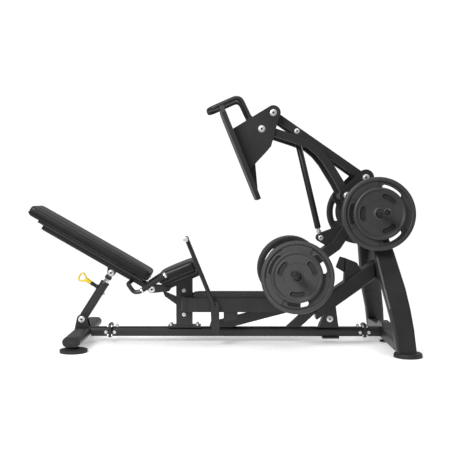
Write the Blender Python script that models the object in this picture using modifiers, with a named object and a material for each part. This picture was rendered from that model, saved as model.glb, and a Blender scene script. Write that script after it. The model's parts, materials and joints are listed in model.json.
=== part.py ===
"""Leg press machine with weight plates, built as separate jointed parts.

Metres, +Z up. The user sits at the -X end and pushes towards +X; +Y is the user's left.
The origin is on the floor, under the middle of the machine.
"""
from math import cos, hypot, pi, radians, sin

import bmesh
import bpy
from mathutils import Matrix, Vector

GAP = 0.0003                       # clearance between touching pieces
SIDES = (("left", 1), ("right", -1))

# Pivots of the press linkage, in the X-Z plane
TOWER_UPPER = (0.934, 1.074)
TOWER_LOWER = (0.815, 0.961)
CARRIAGE_UPPER = (0.348, 1.483)
CARRIAGE_LOWER = (0.275, 1.381)
ROD_TOP = (0.503, 1.372)
ROD_BOTTOM = (0.666, 0.686)
ARM_PIVOT = (0.941, 0.905)
ARM_KINK = (0.764, 0.636)
ARM_END = (0.500, 0.447)

# Lateral stations, measured from the centre plane
TOWER_INNER = 0.172
PLATE_STEEL = 0.012
CARRIAGE_STEEL = 0.010
LINK_INNER, LINK_OUTER = 0.075, 0.115
CURVED_INNER, CURVED_OUTER = 0.125, 0.165
LINK_HALF = 0.025
ROD_RADIUS = 0.020
GUSSET_INNER, GUSSET_OUTER = 0.022, 0.034

# Base frame
RAIL_LOW, RAIL_TOP = 0.037, 0.099
RAIL_HALF_WIDTH = 0.035
FRONT_X = -0.891
FRONT_HALF_X, FRONT_HALF_Y = 0.054, 0.415
FRONT_CAP = 0.015
FRONT_FOOT_X, FRONT_FOOT_Y = -0.884, 0.380
REAR_X_LOW, REAR_X_HIGH = 1.060, 1.125
REAR_FOOT = (1.134, 0.520)
FOOT_RADIUS, REAR_FOOT_RADIUS = 0.085, 0.0855
REAR_FOOT_HEIGHT = 0.025
LEG_STATIONS = (                   # X, distance from centre plane, Z, half width in Y, half depth in X
    (1.123, 0.520, REAR_FOOT_HEIGHT + GAP, 0.035, 0.060),
    (1.108, 0.498, 0.163, 0.036, 0.062),
    (1.085, 0.470, 0.284, 0.037, 0.067),
    (1.064, 0.415, 0.400, 0.042, 0.069),
    (1.024, 0.300, 0.610, 0.041, 0.062),
    (0.968, 0.224, 0.800, 0.037, 0.060),
    (0.955, 0.2193, 0.980, 0.035, 0.060),
)

# Inclined beam of the rear frame
BEAM_POINT = (0.909, 0.402)
BEAM_SLOPE = 0.7117
BEAM_HALF_Y = 0.060
BEAM_HALF_Z = 0.0600
BEAM_START_X, BEAM_END_X = 0.635, 1.020

# Seat and backrest
SEAT_LOW, SEAT_HIGH = (-0.362, 0.387), (-0.143, 0.477)
SEAT_THICKNESS, SEAT_HALF_Y = 0.080, 0.190
SEAT_BOARD = 0.012
BACK_END = (-0.4615, 0.4018)         # lower end of the pad's underside
BACK_ANGLE = radians(29.87)
BACK_LENGTH, BACK_THICKNESS, BACK_HALF_Y = 0.887, 0.074, 0.140
BACK_BOARD = 0.012
BACK_PIVOT = (-0.4345, 0.3486)
FRAME_HALF = 0.020
FRAME_HALF_Y = 0.040
FRAME_DEPTH = BACK_BOARD + FRAME_HALF + 2 * GAP
GRIP_Y = 0.224
GRIP_RADIUS, GRIP_TUBE = 0.017, 0.014

# Adjusting strut under the backrest
STRUT_FOOT = (-0.896, 0.152)
STRUT_HEAD = (-0.704, 0.455)
STRUT_RADIUS, STRUT_BORE, STRUT_ROD = 0.029, 0.0168, 0.0160
PIN_STATION = 0.229                # distance of the pop pin up the strut

# Carriage and footplate
FOOT_TOP, FOOT_LOW = (0.006, 1.514), (0.243, 0.930)
FOOT_STEEL, FOOT_HALF_Y = 0.028, 0.300
HOOP_RADIUS, HOOP_Y = 0.015, 0.120

# Weight plates and their horns
HORN_RADIUS = 0.024
BIG_RADIUS, BIG_WIDTH = 0.225, 0.045
SMALL_RADIUS, SMALL_WIDTH = 0.159, 0.035
BORE_RADIUS = 0.0254
LOAD_HORN_Y = 0.300
STORE_HORN = (0.978, 0.8355)
HORN_TIP_Y = 0.660

# Safety lever beside the platform
LEVER_Y = -0.200
LEVER_PIVOT = (-0.020, 0.115)

CHARCOAL = (0.045, 0.045, 0.047)
VINYL = (0.012, 0.012, 0.013)
RUBBER = (0.020, 0.020, 0.020)
IRON = (0.085, 0.086, 0.088)
STEEL = (0.600, 0.600, 0.610)
YELLOW = (0.850, 0.640, 0.020)
BOARD = (0.030, 0.030, 0.030)

PLANES = {
    "XZ": Matrix(((1, 0, 0), (0, 0, -1), (0, 1, 0))).to_4x4(),
    "YZ": Matrix(((0, 0, 1), (1, 0, 0), (0, 1, 0))).to_4x4(),
    "XY": Matrix.Identity(4),
}


# ---------------------------------------------------------------- scene helpers

def clear_scene():
    for item in list(bpy.data.objects):
        bpy.data.objects.remove(item, do_unlink=True)


def make_collection(name):
    collection = bpy.data.collections.new(name)
    bpy.context.scene.collection.children.link(collection)
    return collection


def make_material(name, colour, metallic, roughness):
    material = bpy.data.materials.new(name)
    material.use_nodes = True
    shader = material.node_tree.nodes["Principled BSDF"]
    shader.inputs["Base Color"].default_value = (*colour, 1.0)
    shader.inputs["Metallic"].default_value = metallic
    shader.inputs["Roughness"].default_value = roughness
    return material


FINISHES = {
    "powder": (CHARCOAL, 0.1, 0.55),
    "vinyl": (VINYL, 0.0, 0.45),
    "rubber": (RUBBER, 0.0, 0.80),
    "iron": (IRON, 0.3, 0.50),
    "steel": (STEEL, 1.0, 0.25),
    "yellow": (YELLOW, 0.0, 0.35),
    "board": (BOARD, 0.0, 0.70),
}


def add_object(name, mesh, collection):
    item = bpy.data.objects.new(name, mesh)
    collection.objects.link(item)
    return item


def scratch(mesh):
    """A loose working piece, later joined into a part or used as a cutter."""
    item = add_object("piece", mesh, CUTTERS)
    item.hide_render = True
    item.display_type = "WIRE"
    return item


def evaluated_mesh(item):
    bpy.context.view_layer.update()
    graph = bpy.context.evaluated_depsgraph_get()
    return bpy.data.meshes.new_from_object(item.evaluated_get(graph), depsgraph=graph)


def bake(item):
    """Replace an object by its evaluated mesh in world space, welded."""
    mesh = evaluated_mesh(item)
    mesh.transform(item.matrix_world)
    shape = bmesh.new()
    shape.from_mesh(mesh)
    bmesh.ops.remove_doubles(shape, verts=shape.verts, dist=0.00002)
    bmesh.ops.recalc_face_normals(shape, faces=shape.faces)
    shape.to_mesh(mesh)
    shape.free()
    bpy.data.objects.remove(item, do_unlink=True)
    return scratch(mesh)


def boolean(item, others, operation):
    for other in others:
        modifier = item.modifiers.new(operation.lower(), "BOOLEAN")
        modifier.operation = operation
        modifier.object = other
    result = bake(item)
    for other in others:
        bpy.data.objects.remove(other, do_unlink=True)
    return result


def part(name, finish, pieces, cutters=(), origin=(0.0, 0.0, 0.0)):
    """One named sub-part: the union of its pieces, less its cutters."""
    body = pieces[0]
    if len(pieces) > 1:
        body = boolean(body, pieces[1:], "UNION")
    if cutters:
        body = boolean(body, list(cutters), "DIFFERENCE")
    mesh = body.data.copy()
    mesh.transform(Matrix.Translation(-Vector(origin)))
    mesh.name = name
    mesh.materials.clear()
    mesh.materials.append(make_material(name, *FINISHES[finish]))
    mesh.shade_smooth()
    mesh.set_sharp_from_angle(angle=radians(35))
    bpy.data.objects.remove(body, do_unlink=True)
    item = add_object(name, mesh, MODEL)
    item.location = origin
    return item


# ---------------------------------------------------------------- outline helpers

def arc(centre, radius, start, end, steps=6):
    angles = [radians(start + (end - start) * k / steps) for k in range(steps + 1)]
    return [(centre[0] + radius * cos(a), centre[1] + radius * sin(a)) for a in angles]


def circle(centre, radius, steps=24):
    return arc(centre, radius, 0, 360, steps)[:-1]


def rounded_rectangle(low, high, radius, steps=4):
    corners = (
        ((high[0] - radius, high[1] - radius), 0),
        ((low[0] + radius, high[1] - radius), 90),
        ((low[0] + radius, low[1] + radius), 180),
        ((high[0] - radius, low[1] + radius), 270),
    )
    return [p for centre, turn in corners for p in arc(centre, radius, turn, turn + 90, steps)]


def wrap(circles, steps=16):
    """The outline of a tight belt around several circles (x, z, radius)."""
    points = sorted({p for x, z, r in circles for p in circle((x, z), r, steps)})

    def chain(sequence):
        hull = []
        for p in sequence:
            while len(hull) > 1 and turn(hull[-2], hull[-1], p) <= 1e-9:
                hull.pop()
            hull.append(p)
        return hull[:-1]

    return chain(points) + chain(reversed(points))


def turn(a, b, c):
    return (b[0] - a[0]) * (c[1] - a[1]) - (b[1] - a[1]) * (c[0] - a[0])


def band(points, half):
    """The outline of a flat bar of half width `half` along a bent centreline."""
    left, right = [], []
    for k, point in enumerate(points):
        before = points[max(k - 1, 0)]
        after = points[min(k + 1, len(points) - 1)]
        into = Vector((point[0] - before[0], point[1] - before[1]))
        out = Vector((after[0] - point[0], after[1] - point[1]))
        directions = [v.normalized() for v in (into, out) if v.length > 0]
        along = sum(directions, Vector((0, 0))).normalized()
        mitre = half / max(along.dot(directions[0]), 0.5)
        left.append((point[0] - along.y * mitre, point[1] + along.x * mitre))
        right.append((point[0] + along.y * mitre, point[1] - along.x * mitre))
    return left + right[::-1]


# ---------------------------------------------------------------- solid helpers

def soften(mesh, width, segments=1):
    shape = bmesh.new()
    shape.from_mesh(mesh)
    edges = [e for e in shape.edges if len(e.link_faces) == 2 and e.calc_face_angle() > radians(50)]
    bmesh.ops.bevel(shape, geom=edges, offset=width, segments=segments, profile=0.5,
                    affect="EDGES", clamp_overlap=True)
    shape.to_mesh(mesh)
    shape.free()


def slab(outline, low, high, plane="XZ", holes=(), bevel=0.0, frame=None):
    """A flat plate: an outline filled and given thickness from low to high."""
    curve = bpy.data.curves.new("slab", "CURVE")
    curve.dimensions = "2D"
    curve.fill_mode = "BOTH"
    curve.extrude = (high - low) / 2
    for loop in (outline, *holes):
        spline = curve.splines.new("POLY")
        spline.points.add(len(loop) - 1)
        for point, (u, v) in zip(spline.points, loop):
            point.co = (u, v, 0, 1)
        spline.use_cyclic_u = True
    item = add_object("slab", curve, CUTTERS)
    middle = (high + low) / 2 * (-1 if plane == "XZ" and frame is None else 1)
    item.matrix_world = (frame or PLANES[plane]) @ Matrix.Translation((0, 0, middle))
    result = bake(item)
    if bevel:
        soften(result.data, bevel)
    return result


def block(low, high, bevel=0.0):
    shape = bmesh.new()
    bmesh.ops.create_cube(shape, size=1)
    size = Vector(high) - Vector(low)
    bmesh.ops.scale(shape, vec=size, verts=shape.verts)
    bmesh.ops.translate(shape, vec=(Vector(high) + Vector(low)) / 2, verts=shape.verts)
    mesh = bpy.data.meshes.new("block")
    shape.to_mesh(mesh)
    shape.free()
    if bevel:
        soften(mesh, bevel)
    return scratch(mesh)


def aim(start, direction):
    """The matrix that carries local +Z to a direction at a start point."""
    return Matrix.Translation(start) @ Vector(direction).to_track_quat("Z", "Y").to_matrix().to_4x4()


def rod(start, end, radius, segments=20):
    start, end = Vector(start), Vector(end)
    shape = bmesh.new()
    bmesh.ops.create_cone(shape, cap_ends=True, segments=segments, radius1=radius, radius2=radius,
                          depth=(end - start).length)
    mesh = bpy.data.meshes.new("rod")
    shape.to_mesh(mesh)
    shape.free()
    mesh.transform(aim((start + end) / 2, end - start))
    return scratch(mesh)


def cross_rod(pivot, half_y, radius, segments=20):
    return rod((pivot[0], -half_y, pivot[1]), (pivot[0], half_y, pivot[1]), radius, segments)


def turned(profile, start, direction, steps=32):
    """A turned solid: (radius, height) pairs from the top down its outer side."""
    mesh = bpy.data.meshes.new("turned")
    edges = [(k, k + 1) for k in range(len(profile) - 1)]
    if profile[0][0] > 0:
        edges.append((len(profile) - 1, 0))
    mesh.from_pydata([(r, 0, h) for r, h in profile], edges, [])
    item = add_object("turned", mesh, CUTTERS)
    item.matrix_world = aim(start, direction)
    screw = item.modifiers.new("screw", "SCREW")
    screw.steps = screw.render_steps = steps
    screw.use_merge_vertices = True
    screw.merge_threshold = 0.00005
    return bake(item)


def pipe(points, radius, resolution=2, cyclic=False):
    curve = bpy.data.curves.new("pipe", "CURVE")
    curve.dimensions = "3D"
    curve.bevel_depth = radius
    curve.bevel_resolution = resolution
    curve.use_fill_caps = True
    spline = curve.splines.new("POLY")
    spline.points.add(len(points) - 1)
    for point, place in zip(spline.points, points):
        point.co = (*place, 1)
    spline.use_cyclic_u = cyclic
    return bake(add_object("pipe", curve, CUTTERS))


def rounded_path(points, radius, steps=4):
    """Replace each inner corner of a 3-D path by a bend of about the given radius."""
    points = [Vector(p) for p in points]
    path = [points[0]]
    for before, corner, after in zip(points, points[1:], points[2:]):
        reach = min(radius, (corner - before).length * 0.45, (after - corner).length * 0.45)
        first = corner + (before - corner).normalized() * reach
        last = corner + (after - corner).normalized() * reach
        for k in range(steps + 1):
            t = k / steps
            path.append(first * (1 - t) ** 2 + corner * 2 * t * (1 - t) + last * t * t)
    return path + [points[-1]]


def loft(sections):
    """A solid skinned over closed sections with equal point counts."""
    shape = bmesh.new()
    rings = [[shape.verts.new(p) for p in section] for section in sections]
    for lower, upper in zip(rings, rings[1:]):
        for k in range(len(lower)):
            following = (k + 1) % len(lower)
            shape.faces.new((lower[k], lower[following], upper[following], upper[k]))
    shape.faces.new(rings[0][::-1])
    shape.faces.new(rings[-1])
    bmesh.ops.recalc_face_normals(shape, faces=shape.faces)
    mesh = bpy.data.meshes.new("loft")
    shape.to_mesh(mesh)
    shape.free()
    return scratch(mesh)


def mirrored(item, side):
    if side > 0:
        return item
    item.data.transform(Matrix.Diagonal((1, -1, 1, 1)))
    item.data.flip_normals()
    return item


# ---------------------------------------------------------------- base frame

def front_frame():
    height = (RAIL_LOW + RAIL_TOP) / 2
    radius = (RAIL_TOP - RAIL_LOW) / 2
    low = (FRONT_X - FRONT_HALF_X, height - radius)
    high = (FRONT_X + FRONT_HALF_X, height + radius)
    section = rounded_rectangle(low, high, radius - GAP)
    lug = wrap(((*STRUT_FOOT, 0.032), (STRUT_FOOT[0] - 0.042, 0.085, 0.005),
                (STRUT_FOOT[0] + 0.046, 0.085, 0.005)))
    lugs = [slab(lug, side * 0.0365 - 0.005, side * 0.0365 + 0.005) for _, side in SIDES]
    part("front_cross_tube", "powder", [slab(section, -FRONT_HALF_Y, FRONT_HALF_Y), *lugs])
    for name, side in SIDES:
        near = FRONT_HALF_Y + GAP
        cap = mirrored(slab(section, near, near + FRONT_CAP, bevel=0.004), side)
        part(f"front_end_cap_{name}", "rubber", [cap])
        foot = turned(((0, RAIL_LOW - GAP), (0.013, RAIL_LOW - GAP), (0.013, 0.028), (0.050, 0.026),
                       (FOOT_RADIUS, 0.018), (FOOT_RADIUS, 0), (0, 0)),
                      (FRONT_FOOT_X, side * FRONT_FOOT_Y, 0), (0, 0, 1))
        part(f"front_foot_{name}", "rubber", [foot])


def base_rail():
    section = rounded_rectangle((-RAIL_HALF_WIDTH, RAIL_LOW), (RAIL_HALF_WIDTH, RAIL_TOP), 0.022)
    start = FRONT_X + FRONT_HALF_X + GAP
    pieces = [slab(section, start, REAR_X_LOW - GAP, "YZ")]
    flange = rounded_rectangle((-0.056, 0.033), (0.056, 0.121), 0.014, 2)
    for centre in (-0.710, 0.955):
        pieces.append(slab(flange, centre - 0.009, centre + 0.009, "YZ"))
    part("base_rail", "powder", pieces)


def rear_frame():
    end = 0.4735
    outline = ((-end, 0.030), (end, 0.030), (end, 0.085), (0.130, 0.105), (0.060, 0.135),
               (-0.060, 0.135), (-0.130, 0.105), (-end, 0.085))
    part("rear_cross_member", "powder", [slab(outline, REAR_X_LOW, REAR_X_HIGH, "YZ", bevel=0.005)])
    for name, side in SIDES:
        leg = mirrored(rear_leg(), side)
        part(f"rear_leg_{name}", "powder", [leg])
        foot = turned(((0, REAR_FOOT_HEIGHT), (0.080, REAR_FOOT_HEIGHT), (REAR_FOOT_RADIUS, 0.014),
                       (REAR_FOOT_RADIUS, 0), (0, 0)),
                      (REAR_FOOT[0], side * REAR_FOOT[1], 0), (0, 0, 1))
        part(f"rear_foot_{name}", "rubber", [foot])


def rear_leg(grow=0.0):
    """The user's left rear leg: a bent box section leaning in towards the tower."""
    sections = []
    for x, y, z, half, depth in LEG_STATIONS:
        low = (x - depth - grow, y - half - grow)
        high = (x + depth + grow, y + half + grow)
        sections.append([(u, v, z) for u, v in rounded_rectangle(low, high, 0.014, 2)])
    return loft(sections)


def tower():
    outline = wrap(((*TOWER_UPPER, 0.052), (*TOWER_LOWER, 0.048), (0.925, 0.700, 0.030),
                    (0.990, 0.700, 0.030)))
    for name, side in SIDES:
        plate = mirrored(slab(outline, TOWER_INNER, TOWER_INNER + PLATE_STEEL), side)
        part(f"tower_plate_{name}", "powder", [plate])
    cross = ((-0.336, 0.425), (0.336, 0.425), (0.245, 0.625), (-0.245, 0.625))
    part("tower_cross_plate", "powder", [slab(cross, BEAM_END_X, BEAM_END_X + 0.012, "YZ")])


def beam_centre(x):
    return BEAM_POINT[1] + (x - BEAM_POINT[0]) * BEAM_SLOPE


def beam_parts():
    end = BEAM_END_X - GAP
    outline = [(BEAM_START_X, beam_centre(BEAM_START_X) - BEAM_HALF_Z), (end, beam_centre(end) - BEAM_HALF_Z),
               (end, beam_centre(end) + BEAM_HALF_Z), (BEAM_START_X, beam_centre(BEAM_START_X) + BEAM_HALF_Z)]
    part("main_beam", "powder", [slab(outline, -BEAM_HALF_Y, BEAM_HALF_Y, bevel=0.008)])
    rail = RAIL_TOP + GAP
    under = BEAM_HALF_Z + 2 * GAP
    bracket = ((0.655, rail), (0.784, rail), (0.765, beam_centre(0.765) - under),
               (0.695, beam_centre(0.695) - under))
    part("beam_bracket", "powder", [slab(bracket, -0.045, 0.045)])
    stop = BEAM_START_X - 2 * GAP
    brace = ((0.445, rail), (0.533, rail), (stop, 0.192), (stop, 0.262), (0.617, 0.258))
    part("beam_brace", "powder", [slab(brace, -0.030, 0.030)])
    over = BEAM_HALF_Z + 2 * GAP
    seat = ((0.822, beam_centre(0.822) + over), (0.929, beam_centre(0.929) + over),
            (0.902, 0.523), (0.828, 0.552))
    part("bump_stop_bracket", "powder", [slab(seat, -0.040, 0.040)])
    rubber = ((0.771, 0.489), (0.8205, 0.459), (0.8265, 0.552), (0.798, 0.560))
    part("bump_stop_rubber", "rubber", [slab(rubber, -0.035, 0.035, bevel=0.004)])


# ---------------------------------------------------------------- seat, platform, lever

def along_seat(distance, height):
    """A point at a distance up the seat pad's underside and a height above it."""
    run = Vector(SEAT_HIGH) - Vector(SEAT_LOW)
    run.normalize()
    point = Vector(SEAT_LOW) + run * distance + Vector((-run.y, run.x)) * height
    return (point.x, point.y)


def seat():
    rail = RAIL_TOP + GAP
    board_low = -SEAT_BOARD - GAP
    length = hypot(SEAT_HIGH[0] - SEAT_LOW[0], SEAT_HIGH[1] - SEAT_LOW[1])
    frame_top = board_low - GAP
    frame = (along_seat(0.012, frame_top - 0.036), along_seat(length, frame_top - 0.030),
             along_seat(length + 0.006, frame_top), along_seat(0.006, frame_top))
    post = ((-0.276, rail + 0.004), (-0.172, rail + 0.004), (-0.172, 0.434), (-0.276, 0.390))
    brace = ((-0.366, 0.335), (-0.352, 0.300), (-0.262, 0.236), (-0.262, 0.290))
    ears = wrap(((*BACK_PIVOT, 0.024), (-0.330, 0.352, 0.016)))
    pieces = [slab(post, -0.045, 0.045), slab(frame, -0.043, 0.043), slab(brace, -0.020, 0.020)]
    pieces += [slab(ears, side * 0.0465 - 0.005, side * 0.0465 + 0.005) for _, side in SIDES]
    base = block((-0.330, -0.050, rail), (-0.118, 0.050, rail + 0.010))
    part("seat_post", "powder", pieces + [base])
    board = (along_seat(0.0, board_low), along_seat(length, board_low),
             along_seat(length, -GAP), along_seat(0.0, -GAP))
    part("seat_board", "board", [slab(board, -0.165, 0.165)])
    pad = (along_seat(-0.012, 0), along_seat(length + 0.016, 0),
           along_seat(length + 0.016, SEAT_THICKNESS), along_seat(-0.006, SEAT_THICKNESS))
    part("seat_pad", "vinyl", [slab(pad, -SEAT_HALF_Y, SEAT_HALF_Y, bevel=0.016)])


def platform():
    low, high, floor = 0.217, 0.306, 0.315
    nose, tail, half, wall = -0.246, 0.525, 0.170, 0.012
    corner = 0.110

    def u_shape(inset):
        reach = corner - inset
        upper = arc((nose + corner, half - corner), reach, 90, 180, 6)
        lower = arc((nose + corner, corner - half), reach, 180, 270, 6)
        return [(tail, half - inset), *upper, *lower, (tail, inset - half)]

    ring = u_shape(0.0) + u_shape(wall)[::-1]
    notch = block((nose - 0.020, -0.050, low - 0.010), (-0.168, 0.050, high + 0.010))
    tie = block((-0.160, 0.006 - half, low + 0.010), (-0.150, half - 0.006, high - 0.010))
    part("platform_band", "powder", [slab(ring, low, high, "XY"), tie], [notch])
    tread = [(0.480, half - wall), *arc((-0.120, half - wall - 0.045), 0.045, 90, 180, 4),
             *arc((-0.120, wall + 0.045 - half), 0.045, 180, 270, 4), (0.480, wall - half)]
    part("platform_tread", "rubber", [slab(tread, high + GAP, floor, "XY")])
    slope = 0.2605
    rail = RAIL_TOP + GAP
    tube = ((-0.060, rail), (0.085, rail), (0.515, 0.213), (0.515, 0.276), (-0.052, 0.128))
    ribs = []
    for start, end in ((0.034, 0.124), (0.425, 0.455)):
        ends = [(x, 0.126 + (x + 0.052) * slope) for x in (start, end)]
        ribs.append(slab([*ends, (end, high), (start, high)], wall - half + GAP, half - wall - GAP))
    part("platform_support", "powder", [slab(tube, -0.030, 0.030), *ribs])


def safety_lever():
    shaft = rod((LEVER_PIVOT[0], -0.0305, LEVER_PIVOT[1]), (LEVER_PIVOT[0], LEVER_Y + 0.0053, LEVER_PIVOT[1]),
                0.010, 16)
    part("lever_shaft", "powder", [shaft])
    bar = wrap(((LEVER_PIVOT[0] + 0.003, LEVER_PIVOT[1], 0.0265), (LEVER_PIVOT[0] - 0.001, 0.264, 0.0265)))
    tube = pipe(rounded_path(((-0.026, LEVER_Y, 0.262), (-0.193, LEVER_Y, 0.672),
                              (-0.200, LEVER_Y - 0.004, 0.690), (-0.200, LEVER_Y - 0.034, 0.690)), 0.02),
                0.0140)
    arm = [slab(bar, -LEVER_Y - 0.005, -LEVER_Y + 0.005), tube]
    arm[0].data.transform(Matrix.Diagonal((1, -1, 1, 1)))
    arm[0].data.flip_normals()
    part("safety_lever", "powder", arm, origin=(LEVER_PIVOT[0], LEVER_Y, LEVER_PIVOT[1]))
    grip = rod((-0.200, LEVER_Y - 0.0343, 0.690), (-0.200, LEVER_Y - 0.120, 0.690), 0.017)
    part("lever_grip", "rubber", [grip], origin=(LEVER_PIVOT[0], LEVER_Y, LEVER_PIVOT[1]))


# ---------------------------------------------------------------- backrest and strut

def along_back(distance, height):
    """A point at a distance up the back pad's underside and a height above it."""
    run = Vector((-cos(BACK_ANGLE), sin(BACK_ANGLE)))
    rise = Vector((sin(BACK_ANGLE), cos(BACK_ANGLE)))
    point = Vector(BACK_END) + run * distance + rise * height
    return (point.x, point.y)


def backrest():
    origin = (BACK_PIVOT[0], 0, BACK_PIVOT[1])
    board_low = -BACK_BOARD - GAP
    top_end = 0.767
    frame = band([BACK_PIVOT, along_back(top_end, -FRAME_DEPTH)], FRAME_HALF)
    hub = cross_rod(BACK_PIVOT, FRAME_HALF_Y, 0.022)
    lug = wrap(((*STRUT_HEAD, 0.025), (STRUT_HEAD[0] - 0.012, STRUT_HEAD[1] + 0.040, 0.010),
                (STRUT_HEAD[0] + 0.030, STRUT_HEAD[1] + 0.020, 0.010)))
    lugs = [slab(lug, side * 0.0210 - 0.004, side * 0.0210 + 0.004) for _, side in SIDES]
    pieces = [slab(frame, -FRAME_HALF_Y, FRAME_HALF_Y, bevel=0.006), hub, *lugs]
    cross = (-0.569, 0.402)
    grip_start, grip_end = Vector((-0.475, 0.366)), Vector((-0.339, 0.455))
    halves = [[(cross[0], side * y, cross[1]) for y in (0.0, GRIP_Y)] for _, side in SIDES]
    lead = grip_start - (grip_end - grip_start).normalized() * 0.022
    bend = [(-0.530, 0.350), tuple(lead), tuple(grip_start)]
    left = [(x, GRIP_Y, z) for x, z in bend]
    right = [(x, -GRIP_Y, z) for x, z in bend]
    route = right[::-1] + [halves[1][1], halves[0][1]] + left
    pieces.append(pipe(rounded_path(route, 0.035), GRIP_TUBE))
    part("back_frame", "powder", pieces, origin=origin)
    board = (along_back(0.030, board_low), along_back(0.030, -GAP), along_back(0.800, -GAP),
             along_back(0.800, board_low))
    part("back_board", "board", [slab(board, -0.120, 0.120)], origin=origin)
    pad = (along_back(0, 0), along_back(0, BACK_THICKNESS), along_back(BACK_LENGTH, BACK_THICKNESS),
           along_back(BACK_LENGTH, 0))
    part("back_pad", "vinyl", [slab(pad, -BACK_HALF_Y, BACK_HALF_Y, bevel=0.014)], origin=origin)
    along = (grip_end - grip_start).normalized()
    start = grip_start + along * GAP * 2
    for name, side in SIDES:
        grip = rod((start.x, side * GRIP_Y, start.y), (grip_end.x, side * GRIP_Y, grip_end.y), GRIP_RADIUS)
        part(f"grip_{name}", "rubber", [grip], origin=origin)


def strut():
    foot = Vector((STRUT_FOOT[0], 0, STRUT_FOOT[1]))
    head = Vector((STRUT_HEAD[0], 0, STRUT_HEAD[1]))
    along = (head - foot).normalized()
    sleeve_end, rod_start = 0.278, 0.120
    sleeve = turned(((STRUT_RADIUS, sleeve_end), (STRUT_RADIUS, 0.020), (STRUT_BORE, 0.020),
                     (STRUT_BORE, sleeve_end)), foot, along, 24)
    eye = cross_rod(STRUT_FOOT, 0.0312, 0.0285)
    part("strut_sleeve", "powder", [sleeve, eye], origin=foot)
    pole = rod(foot + along * rod_start, head - along * 0.006, STRUT_ROD)
    knuckle = cross_rod(STRUT_HEAD, 0.0165, 0.019)
    part("strut_rod", "steel", [pole, knuckle], origin=head)
    outward = Vector((-along.z, 0, along.x))
    seat_point = foot + along * PIN_STATION
    barrel_end = 0.078
    barrel = rod(seat_point + outward * (STRUT_RADIUS + GAP), seat_point + outward * barrel_end, 0.013, 16)
    part("pop_pin_barrel", "powder", [barrel], origin=foot)
    neck = turned(((0, 0.124), (0.010, 0.124), (0.015, 0.112), (0.013, barrel_end + GAP),
                   (0, barrel_end + GAP)), seat_point, outward, 24)
    half_loop = ((0.118, 0.008), (0.130, 0.017), (0.144, 0.025), (0.154, 0.026), (0.162, 0.019),
                 (0.165, 0.007))
    loop = [*half_loop, *((reach, -wide) for reach, wide in half_loop[::-1])]
    ring = pipe([seat_point + outward * reach + along * wide for reach, wide in loop], 0.006, 1, True)
    part("pop_pin_handle", "yellow", [neck, ring], origin=seat_point)


# ---------------------------------------------------------------- press linkage

def upper_links():
    origin = (TOWER_UPPER[0], 0, TOWER_UPPER[1])
    outline = wrap(((*TOWER_UPPER, 0.025), (*CARRIAGE_UPPER, 0.023)), 24)
    pieces = [slab(outline, *sorted((side * LINK_INNER, side * LINK_OUTER))) for _, side in SIDES]
    hub = TOWER_INNER - GAP
    pieces += [cross_rod(TOWER_UPPER, hub, 0.026), cross_rod(CARRIAGE_UPPER, hub, 0.022)]
    pieces.append(cross_rod(ROD_TOP, LINK_INNER + 0.010, 0.012))
    part("upper_links", "powder", pieces, origin=origin)


def curved_arms():
    origin = (TOWER_LOWER[0], 0, TOWER_LOWER[1])
    line = (CARRIAGE_LOWER, (0.361, 1.360), (0.495, 1.316), (0.582, 1.284), (0.640, 1.236), (0.690, 1.175),
            (0.771, 1.044), TOWER_LOWER)
    pieces = []
    for _, side in SIDES:
        low, high = sorted((side * CURVED_INNER, side * CURVED_OUTER))
        pieces.append(slab(band(line, LINK_HALF), low, high))
        pieces.append(slab(circle(CARRIAGE_LOWER, 0.030), low + 0.002, high - 0.002))
    pieces.append(cross_rod(TOWER_LOWER, TOWER_INNER - GAP, 0.030))
    part("curved_arms", "powder", pieces, origin=origin)


def push_rod():
    origin = (ROD_TOP[0], 0, ROD_TOP[1])
    top = Vector((ROD_TOP[0], 0, ROD_TOP[1]))
    bottom = Vector((ROD_BOTTOM[0], 0, ROD_BOTTOM[1]))
    along = (bottom - top).normalized()
    pieces = [rod(top + along * 0.060, bottom - along * 0.060, ROD_RADIUS)]
    pieces.append(rod(top + along * 0.015, bottom - along * 0.015, 0.010, 16))
    pieces.append(cross_rod(ROD_TOP, ROD_RADIUS - 0.002, 0.026))
    pieces.append(cross_rod(ROD_BOTTOM, ROD_RADIUS - 0.002, 0.024))
    cutters = [cross_rod(ROD_TOP, 0.030, 0.0127)]
    part("push_rod", "powder", pieces, cutters, origin=origin)


def foot_point(distance, height):
    """A point down the footplate's front face and a height behind it."""
    run = (Vector(FOOT_LOW) - Vector(FOOT_TOP)).normalized()
    point = Vector(FOOT_TOP) + run * distance + Vector((-run.y, run.x)) * height
    return (point.x, point.y)


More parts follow.
